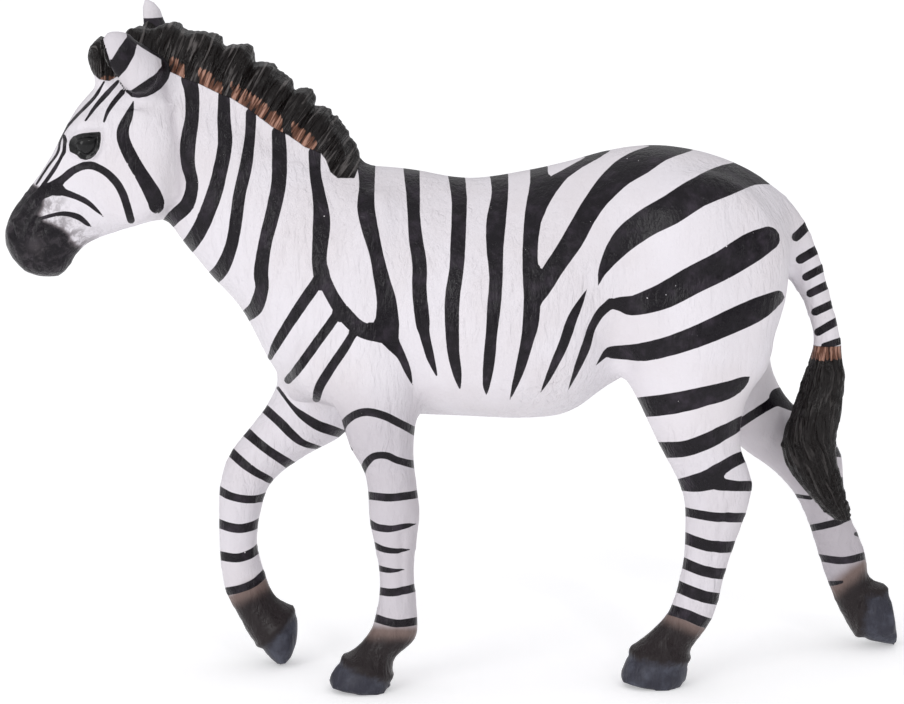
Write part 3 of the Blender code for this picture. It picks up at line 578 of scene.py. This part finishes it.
figure = Figure(mesh)
normals = np.empty(len(mesh.vertices) * 3)
mesh.vertices.foreach_get("normal", normals)
normals = normals.reshape(-1, 3)
px, py = figure.sidePx, figure.sidePy
maneField = shapeField(px, py, maneShape)
inMane = figure.hair * eased(-maneField, -1, 3)
upright = eased(forelock["front"][1] - px, 0, 10)       # the forelock's front, with strands side by side
strand = strandAt(px, py) + figure.y / toMillimetres * upright
wander = 0.22 * np.sin(strand / 17.0 + py / 23.0) + 0.12 * np.sin(py / 7.0 + strand / 5.0)
crest = 1 - eased(np.abs(normals[:, 1]), 0.2, 0.7)
strands = relief["strandHeight"] * (ripple(strand, relief["strand"], wander) - 0.5)
locks = relief["lockHeight"] * (ripple(strand, relief["lock"], 0.5 * wander) - 0.5)
height = strands * (1 - relief["crestCalm"] * crest) + locks
towardsCrest = eased(-maneField, 4, 30)
for notch in maneNotches:
    height -= relief["notch"] * towardsCrest * bell(strand, strandAt(*notch), relief["notchWidth"])
push = inMane * height
near, far = forelock["sides"]
parted = (figure.y > near) & (figure.y < far) & (figure.z > forelock["above"])
parted = parted * eased(px, *forelock["front"]) * (1 - eased(px, *forelock["back"]))
parting = relief["parting"] * parted * eased(forelock["bottom"] - py, 0, 6)

inTuft = figure.isTail * eased(limits["tuftTop"] - figure.z, 1.0, 4.5)
angle = np.arctan2(figure.y, figure.x - np.interp(figure.z, *tuftMiddle))
tuftWave = angle * 2.9 + 0.35 * np.sin(figure.z / 2.6) + 0.06 * figure.z
tuftWander = 0.25 * np.sin(figure.z / 1.7 + angle * 3)
push += inTuft * relief["tuftHeight"] * (ripple(tuftWave, relief["tuftStrand"], tuftWander) - 0.5)
flow = np.where(figure.isTail, figure.z / toMillimetres, py)
strand = np.where(figure.isTail, tuftWave / toMillimetres, strand)

onFace = (figure.z > limits["faceBottom"]) & (px < limits["faceBackPixel"])
onFace &= (np.abs(figure.y) > limits["faceInside"]) & ~figure.nearEar & ~figure.farEar
bare = ~figure.nearEar & ~figure.farEar & ~figure.hair
headSkin = figure.head & (bare | (figure.z < limits["throatTop"]))
trunkSkin = (figure.z > limits["trunkBottom"]) & ~figure.isTail
legSkin = (normals[:, 1] < 0.3) & (figure.z < limits["grooveTop"]) & ~figure.isTail     # faces the camera
for lines, x, y, mask, sign in ((faceGrooves, px, py, headSkin, -1), (faceRidges, px, py, headSkin, 1),
                                (bodyGrooves, px, py, trunkSkin, -1),
                                (legGrooves, figure.px, figure.py, legSkin, -1)):
    for path, width, depth in lines:
        push += sign * mask * depth * bell(edgeField(x, y, path), 0, width)
eyeField = shapeField(px, py, eyeShape)
(ballX, ballY), (radiusX, radiusY) = relief["eyeballMiddle"], relief["eyeballRadii"]
ball = np.hypot((px - ballX) / radiusX, (py - ballY) / radiusY)
push += onFace * relief["lid"] * bell(eyeField, relief["lidEdge"], relief["lidWidth"])
push -= onFace * relief["eyeGroove"] * bell(eyeField, relief["eyeGrooveEdge"], relief["eyeGrooveWidth"])
push += onFace * relief["eyeball"] * np.sqrt(np.clip(1 - ball ** 2, 0, 1))

hoofField = np.full(len(px), 9.0)       # millimetres to the coronet, below zero in the hoof
for hoof in hooves.values():
    (ax, az), (bx, bz) = hoof["coronet"]
    across = np.array([-(bz - az), bx - ax]) / np.hypot(bx - ax, bz - az)
    within = (hoof["within"][0] - ax) * across[0] + (hoof["within"][1] - az) * across[1]
    away = ((figure.x - ax) * across[0] + (figure.z - az) * across[1]) * (-1 if within > 0 else 1)
    if "top" in hoof:
        away = np.maximum(away, figure.z - hoof["top"])
    leg = figure.onLeg(hoof, limits["hoofTop"])
    hoofField = np.where(leg, np.minimum(hoofField, away), hoofField)
aboveSole = figure.z > limits["soleTop"]
push += relief["coronet"] * bell(hoofField, relief["coronetEdge"], relief["coronetWidth"]) * aboveSole
push -= relief["crease"] * bell(hoofField, relief["creaseEdge"], relief["creaseWidth"]) * aboveSole

sculpted = figure.places + normals * push[:, None]
sculpted[:, 2] -= parting
earTip = figure.nearEar & (figure.y < -5)
sculpted[:, 2] += relief["earRaise"] * earTip * eased(figure.nearEarShare, 0.45, 1.0)
grounded = figure.z < limits["ground"]
sculpted[:, 2] = np.maximum(np.where(grounded, figure.z, sculpted[:, 2]), 0.0)
mesh.vertices.foreach_set("co", ((sculpted - np.array(photo["toDrawing"])) / 1000).ravel())
mesh.update()
print("sculpted: mane, tuft, eyes and hooves")


# Paint, as values at the vertices: distances in millimetres to each colour's edge, and how thick a spray is
def keep(name, values):
    layer = mesh.attributes.new(name, "FLOAT", "POINT")
    layer.data.foreach_set("value", values.astype(np.float32))


farEarBand = {"middle": 89.3, "halfWidth": 1.1, "baseTop": 85.4}        # in millimetres
tuftBand = {"top": 45.7, "copper": (43.1, 44.3)}        # heights in millimetres
underHair = 6           # how far inside the hair's edge the skin below is all black, in pixels
outOfReach = 20         # a distance that counts as far outside, in pixels
browCopper = {"middle": (108, 79), "flatness": 1.6, "fade": (4, 12)}        # middle and fade in pixels
tuftSheen = 0.35        # share of the mane's painted highlights
paleMuzzle = {"middle": (35, 245), "spread": 170, "share": 0.30}        # a paler place in the soot
paintedShades = {              # how thick each patch of painted shade is
    "jaw": 0.62, "innerLeg": 0.60, "leg": 0.25, "earTip": 0.35, "ear": 0.2,
    "farHind": ([10, 28, 36], [1.0, 0.5, 0.0]),     # against the height
}

field = stripeField(figure)[0]
earWhite = np.minimum(shapeField(px, py, earShapes["tip"]), shapeField(px, py, earShapes["field"]))
earPaint = np.maximum(figure.earField, -earWhite)
earPaint = np.where(figure.earField < 1, earPaint, np.minimum(earPaint, field))
field = np.where(figure.nearEar, earPaint, field)
band = np.abs(figure.z - farEarBand["middle"]) - farEarBand["halfWidth"]
farEarPaint = np.minimum(band, figure.z - farEarBand["baseTop"]) / toMillimetres
field = np.where(figure.farEar, farEarPaint, field)
field = np.where(figure.hair, np.minimum(field, maneField + underHair), field)
keep("stripe", field * toMillimetres)

besideEar = np.where(figure.nearEar, -0.6 - figure.earField, -outOfReach)
maneField = np.where(figure.hair | figure.nearEar, np.maximum(maneField, besideEar), outOfReach)
tuftField = np.where(figure.isTail, (figure.z - tuftBand["top"]) / toMillimetres, outOfReach)
keep("hair", np.minimum(maneField, tuftField) * toMillimetres)
keep("strand", strand * toMillimetres)
keep("flow", flow * toMillimetres)
patch = np.zeros(len(px))
for start, end in copperPatches:
    patch = np.maximum(patch, eased(px, start - 2, start + 3) * (1 - eased(px, end - 3, end + 2)))
edge = edgeField(px, py, maneEdge)
copper = patch * (1 - eased(edge, 8, 27)) * figure.hair * (maneField < 2)
browX, browY = browCopper["middle"]
brow = 1 - eased(np.hypot(px - browX, (py - browY) * browCopper["flatness"]), *browCopper["fade"])
copper = np.maximum(copper, brow * (figure.hair & (px < limits["faceBackPixel"])))
copper = np.maximum(copper, figure.isTail * eased(figure.z, *tuftBand["copper"]) * 1.1)
keep("copper", copper)
# How much painted highlight the hair's strands get: full on the mane, less on the tuft
keep("sheen", np.where(figure.isTail, tuftSheen, 1.0))

muzzleField = shapeField(px, py, muzzleShape)
paleX, paleY = paleMuzzle["middle"]
pale = np.exp(-((px - paleX) ** 2 + (py - paleY) ** 2) / paleMuzzle["spread"])
soot = (1 - eased(muzzleField, -4, 4)) * (1 - paleMuzzle["share"] * pale) * figure.head
keep("soot", soot)
haze = (1 - eased(muzzleField, 2, 34)) * eased(py, 186, 200) * figure.head
keep("haze", haze)

# A thin grey wash of painted shade along the jaw crease, on the ears, inside the legs and down towards the
# hooves
paintedShade = paintedShades["jaw"] * bell(edgeField(px, py, jawEdge), 0, 4.0) * figure.head
inner = eased(-1.5 - figure.x, 0, 4) * (figure.y < 0)
paintedShade = np.maximum(paintedShade, paintedShades["innerLeg"] * eased(limits["shadeTop"] - figure.z, 0, 10) * inner)
paintedShade = np.maximum(paintedShade, paintedShades["leg"] * eased(40 - figure.z, 0, 14))
farInner = figure.farHind & (figure.y < 12.5)
paintedShade = np.maximum(paintedShade, farInner * np.interp(figure.z, *paintedShades["farHind"]))
earShade = np.where(px < 127, paintedShades["earTip"], paintedShades["ear"])
paintedShade = np.maximum(paintedShade, figure.nearEar * (figure.earField < 0) * earShade)
keep("paintedShade", paintedShade)

smoke = np.zeros(len(px))
for name, fetlock in fetlocks.items():
    (ax, ay), (bx, by) = fetlock["line"]
    down = np.array(fetlock["down"]) / np.hypot(*fetlock["down"])
    t = np.clip((figure.px - ax) / (bx - ax), 0, 1)
    below = (figure.px - ax - t * (bx - ax)) * down[0] + (figure.py - ay - t * (by - ay)) * down[1]
    leg = figure.onLeg(hooves[name], limits["fetlockTop"])
    smoke = np.where(leg, np.maximum(smoke, eased(below, -12, fetlock["length"])), smoke)
keep("smoke", smoke)
keep("hoof", hoofField)
keep("eye", np.where(onFace, eyeField * toMillimetres, 9))
print("painted: stripes, hair, muzzle, fetlocks and hooves")


# The paint's own shader
paint = {
    "white": (0.760, 0.728, 0.770, 1),
    "warmWhite": (0.720, 0.680, 0.710, 1),
    # the grey of the painted shade
    "paintedShade": (0.440, 0.405, 0.440, 1),
    "black": (0.0070, 0.0052, 0.0080, 1),
    "sheenBlack": (0.029, 0.022, 0.032, 1),
    "hair": (0.0070, 0.0050, 0.0048, 1),
    "hairHighlight": (0.100, 0.090, 0.088, 1),
    "copper": (0.115, 0.046, 0.027, 1),
    "copperLight": (0.420, 0.225, 0.165, 1),
    "sootGrey": (0.150, 0.130, 0.140, 1),
    "sootBrown": (0.037, 0.031, 0.037, 1),
    "brownGrey": (0.170, 0.120, 0.108, 1),
    "darkBrown": (0.017, 0.012, 0.013, 1),
    "slate": (0.032, 0.032, 0.045, 1),
    "slateLight": (0.070, 0.074, 0.098, 1),
    "eye": (0.0015, 0.0015, 0.0020, 1),
}

material = bpy.data.materials.new("paintedPlastic")
material.use_nodes = True
tree = material.node_tree
shader = tree.nodes["Principled BSDF"]


def node(kind, **values):
    made = tree.nodes.new(kind)
    for name, value in values.items():
        setattr(made, name, value)
    return made


def join(source, target):
    tree.links.new(source, target)


def attribute(name):
    return node("ShaderNodeAttribute", attribute_name=name).outputs["Fac"]


def maths(operation, first, second=None, third=None, clamp=False):
    made = node("ShaderNodeMath", operation=operation, use_clamp=clamp)
    for socket, value in zip(made.inputs, (first, second, third)):
        if value is None:
            continue
        if isinstance(value, (int, float)):
            socket.default_value = value
        else:
            join(value, socket)
    return made.outputs[0]


def stepped(value, low, high, start=0.0, end=1.0):
    made = node("ShaderNodeMapRange", interpolation_type="SMOOTHSTEP")
    join(value, made.inputs["Value"])
    for name, number in (("From Min", low), ("From Max", high), ("To Min", start), ("To Max", end)):
        made.inputs[name].default_value = number
    return made.outputs["Result"]


def mixed(factor, first, second):
    made = node("ShaderNodeMix", data_type="RGBA")
    if isinstance(factor, (int, float)):
        made.inputs["Factor"].default_value = factor
    else:
        join(factor, made.inputs["Factor"])
    for socket, value in ((made.inputs[6], first), (made.inputs[7], second)):
        if isinstance(value, tuple):
            socket.default_value = value
        else:
            join(value, socket)
    return made.outputs[2]


coordinates = node("ShaderNodeTexCoord").outputs["Object"]


def noise(scale, detail=3.0, roughness=0.55, stretch=None, turned=(0, 0, 0), distortion=0.0):
    source = coordinates
    if stretch:
        mapping = node("ShaderNodeMapping")
        join(coordinates, mapping.inputs["Vector"])
        mapping.inputs["Scale"].default_value = stretch
        mapping.inputs["Rotation"].default_value = [radians(angle) for angle in turned]
        source = mapping.outputs["Vector"]
    made = node("ShaderNodeTexNoise")
    join(source, made.inputs["Vector"])
    made.inputs["Scale"].default_value = scale
    made.inputs["Detail"].default_value = detail
    made.inputs["Roughness"].default_value = roughness
    made.inputs["Distortion"].default_value = distortion
    return made.outputs["Fac"]


cloudy = noise(scale=90, detail=3)
# Patches of grime, which also place the painted grey sheen on the black
grimeAndSheen = noise(scale=420, detail=4, roughness=0.6)
grain = noise(scale=2600, detail=3, roughness=0.6)
furNoise = noise(scale=1150, detail=3, stretch=(1.0, 1.0, 0.28), turned=(0, 24, 0), distortion=0.5)
brushwork = noise(scale=700, detail=2, roughness=0.5)
mottle = noise(scale=760, detail=5, roughness=0.68, distortion=0.6)
chipAndGlintNoise = noise(scale=1900, detail=1, roughness=0.4)
furPatches = noise(scale=60, detail=2)

finish = {
    "waver": 0.05,              # how far a brush edge strays, in millimetres
    "edge": 0.035,              # half the soft width of a painted edge, in millimetres
    "hairEdge": 0.05, "hoofEdge": 0.12, "eyeEdge": 0.03,
    "roughness": (0.36, 0.50),  # from clean to grimy
    "darkGloss": 0.12, "smokeGloss": 0.12, "hoofDullness": 0.14,
    "specular": 0.22, "eyeCoat": 0.30, "eyeCoatRoughness": 0.08,
    "furDepth": (0.30, 1.0),    # from its calm patches to its rough ones
    "grainDepth": 0.15, "hairDepth": 1.5,
    "bumpStrength": 0.85, "bumpHeight": 0.00050,
}
waver = maths("MULTIPLY_ADD", brushwork, 2 * finish["waver"], -finish["waver"])


def inside(name, soft):     # 1 within a painted edge and 0 outside it
    return stepped(maths("ADD", attribute(name), waver), -soft, soft, 1.0, 0.0)


whitePaint = mixed(stepped(cloudy, 0.35, 0.7), paint["white"], paint["warmWhite"])
# Black paint with paler patches at random: a painted grey sheen
blackPaint = mixed(stepped(grimeAndSheen, 0.45, 0.75), paint["black"], paint["sheenBlack"])
# The grey wash of painted shade darkens the white
colour = mixed(attribute("paintedShade"), whitePaint, paint["paintedShade"])

hazeAmount = maths("MULTIPLY", attribute("haze"), stepped(mottle, 0.40, 0.64, 0.0, 0.75))
colour = mixed(hazeAmount, colour, paint["sootGrey"])
sootAmount = maths("MULTIPLY", attribute("soot"), maths("ADD", mottle, 0.52), clamp=True)
colour = mixed(stepped(sootAmount, 0.0, 0.55), colour, paint["sootGrey"])
sootPaint = mixed(stepped(mottle, 0.46, 0.66), paint["black"], paint["sootBrown"])
colour = mixed(stepped(sootAmount, 0.4, 0.9), colour, sootPaint)
smokeAmount = maths("ADD", attribute("smoke"), maths("MULTIPLY_ADD", grimeAndSheen, 0.16, -0.08))
colour = mixed(stepped(smokeAmount, 0.03, 0.45), colour, paint["brownGrey"])
colour = mixed(stepped(smokeAmount, 0.45, 0.95), colour, paint["darkBrown"])
# White specks where the black paint is left out: paint chips, and painted glints
chipsAndGlints = stepped(chipAndGlintNoise, 0.81, 0.83)
stripeMask = inside("stripe", finish["edge"])
stripeMask = maths("MULTIPLY", stripeMask, maths("SUBTRACT", 1.0, chipsAndGlints))
colour = mixed(stripeMask, colour, blackPaint)

combed = node("ShaderNodeCombineXYZ")
join(attribute("strand"), combed.inputs["X"])
join(maths("MULTIPLY", attribute("flow"), 0.13), combed.inputs["Y"])
strandNode = node("ShaderNodeTexNoise", noise_dimensions="2D")
join(combed.outputs["Vector"], strandNode.inputs["Vector"])
strandNode.inputs["Scale"].default_value = 1.9
strandNode.inputs["Detail"].default_value = 2.5
strandNode.inputs["Distortion"].default_value = 0.4
strandNoise = strandNode.outputs["Fac"]
# Painted highlights along the hair's strands
hairHighlightShare = maths("MULTIPLY", stepped(strandNoise, 0.55, 0.72), attribute("sheen"))
hairPaint = mixed(hairHighlightShare, paint["hair"], paint["hairHighlight"])
copperPaint = mixed(stepped(strandNoise, 0.48, 0.62), paint["copper"], paint["copperLight"])
copperAmount = maths("MULTIPLY", attribute("copper"), maths("MULTIPLY_ADD", strandNoise, 1.9, 0.15))
hairPaint = mixed(stepped(copperAmount, 0.80, 1.0), hairPaint, copperPaint)
hairMask = inside("hair", finish["hairEdge"])
colour = mixed(hairMask, colour, hairPaint)

hoofMask = inside("hoof", finish["hoofEdge"])
hoofPaint = mixed(stepped(grimeAndSheen, 0.4, 0.75), paint["slate"], paint["slateLight"])
hoofDepth = maths("ADD", attribute("hoof"), maths("MULTIPLY_ADD", mottle, 2.4, -1.2))
hoofPaint = mixed(stepped(hoofDepth, -1.5, -0.2), hoofPaint, paint["darkBrown"])
colour = mixed(hoofMask, colour, hoofPaint)
eyeMask = inside("eye", finish["eyeEdge"])
colour = mixed(eyeMask, colour, paint["eye"])
join(colour, shader.inputs["Base Color"])

roughness = stepped(grimeAndSheen, 0.3, 0.7, *finish["roughness"])
dark = maths("MAXIMUM", stripeMask, maths("MAXIMUM", hairMask, sootAmount))
roughness = maths("SUBTRACT", roughness, maths("MULTIPLY", dark, finish["darkGloss"]))
roughness = maths("SUBTRACT", roughness, maths("MULTIPLY", attribute("smoke"), finish["smokeGloss"]))
roughness = maths("ADD", roughness, maths("MULTIPLY", hoofMask, finish["hoofDullness"]))
join(roughness, shader.inputs["Roughness"])
join(maths("MULTIPLY", eyeMask, finish["eyeCoat"]), shader.inputs["Coat Weight"])
shader.inputs["Coat Roughness"].default_value = finish["eyeCoatRoughness"]
shader.inputs["Specular IOR Level"].default_value = finish["specular"]

furDepth = stepped(furPatches, 0.38, 0.60, *finish["furDepth"])
fur = maths("MULTIPLY", furNoise, furDepth)
hairs = maths("MULTIPLY", maths("MULTIPLY", strandNoise, hairMask), finish["hairDepth"])
surface = maths("ADD", maths("ADD", fur, maths("MULTIPLY", grain, finish["grainDepth"])), hairs)
smoothEye = maths("SUBTRACT", 1.0, eyeMask)
bump = node("ShaderNodeBump")
bump.inputs["Strength"].default_value = finish["bumpStrength"]
bump.inputs["Distance"].default_value = finish["bumpHeight"]
join(maths("MULTIPLY", surface, smoothEye), bump.inputs["Height"])
join(bump.outputs["Normal"], shader.inputs["Normal"])

mesh.materials.clear()
mesh.materials.append(material)
mesh.shade_smooth()

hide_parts("zebra")
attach(piece, "root")
print("finished:", triangleCount(mesh), "triangles")


# Floor, light and camera
studio = {
    "floor": 12.0,                      # metres along a side
    "floorColour": (0.90, 0.90, 0.905, 1),
    "floorGlow": 0.34,
    "sky": (0.985, 0.985, 1.0, 1),
    "horizonStrength": 0.18,
    "zenithStrength": 0.80,
    "horizonTop": 0.5,                  # where the sky reaches its full strength, as a share of its radius
}
lamps = {
    "window": {"from": (-0.75, -1.0, 0.40), "strength": 0.95, "angle": 28},
    "lamp": {"from": (0.25, -0.85, 0.45), "strength": 0.22, "angle": 4},
}

bm = bmesh.new()
bmesh.ops.create_grid(bm, x_segments=1, y_segments=1, size=studio["floor"] / 2)
floorMesh = bpy.data.meshes.new("floor")
bm.to_mesh(floorMesh)
bm.free()
floor = bpy.data.objects.new("floor", floorMesh)
scene.collection.objects.link(floor)
floorMaterial = bpy.data.materials.new("paleFloor")
floorMaterial.use_nodes = True
floorShader = floorMaterial.node_tree.nodes["Principled BSDF"]
floorShader.inputs["Base Color"].default_value = studio["floorColour"]
floorShader.inputs["Roughness"].default_value = 0.9
floorShader.inputs["Emission Color"].default_value = studio["floorColour"]
floorShader.inputs["Emission Strength"].default_value = studio["floorGlow"]
floorMesh.materials.append(floorMaterial)

world = bpy.data.worlds.new("studio")
scene.world = world
world.use_nodes = True
background = world.node_tree.nodes["Background"]
background.inputs["Color"].default_value = studio["sky"]
skyPlace = world.node_tree.nodes.new("ShaderNodeTexCoord")
skyAxes = world.node_tree.nodes.new("ShaderNodeSeparateXYZ")
skyRange = world.node_tree.nodes.new("ShaderNodeMapRange")
skyRange.interpolation_type = "SMOOTHSTEP"
skyRange.inputs["From Max"].default_value = studio["horizonTop"]
skyRange.inputs["To Min"].default_value = studio["horizonStrength"]
skyRange.inputs["To Max"].default_value = studio["zenithStrength"]
world.node_tree.links.new(skyPlace.outputs["Generated"], skyAxes.inputs[0])
world.node_tree.links.new(skyAxes.outputs["Z"], skyRange.inputs["Value"])
world.node_tree.links.new(skyRange.outputs["Result"], background.inputs["Strength"])

for name, values in lamps.items():
    light = bpy.data.lights.new(name, "SUN")
    light.energy = values["strength"]
    light.angle = radians(values["angle"])
    lightObject = bpy.data.objects.new(name, light)
    lightObject.rotation_euler = Vector(values["from"]).to_track_quat("Z", "Y").to_euler()
    scene.collection.objects.link(lightObject)

ahead, right, up = cameraAxes()
camera = bpy.data.cameras.new("camera")
camera.sensor_width = photo["sensor"]
camera.lens = photo["sensor"] * photo["distance"] / (photo["width"] * photo["pixel"])
camera.clip_start = 0.01
cameraObject = bpy.data.objects.new("camera", camera)
target = (Vector(photo["target"]) - Vector(photo["toDrawing"])) / 1000
cameraObject.location = target - Vector(ahead) * photo["distance"] / 1000
cameraObject.rotation_euler = Vector(ahead).to_track_quat("-Z", "Y").to_euler()
scene.collection.objects.link(cameraObject)
scene.camera = cameraObject
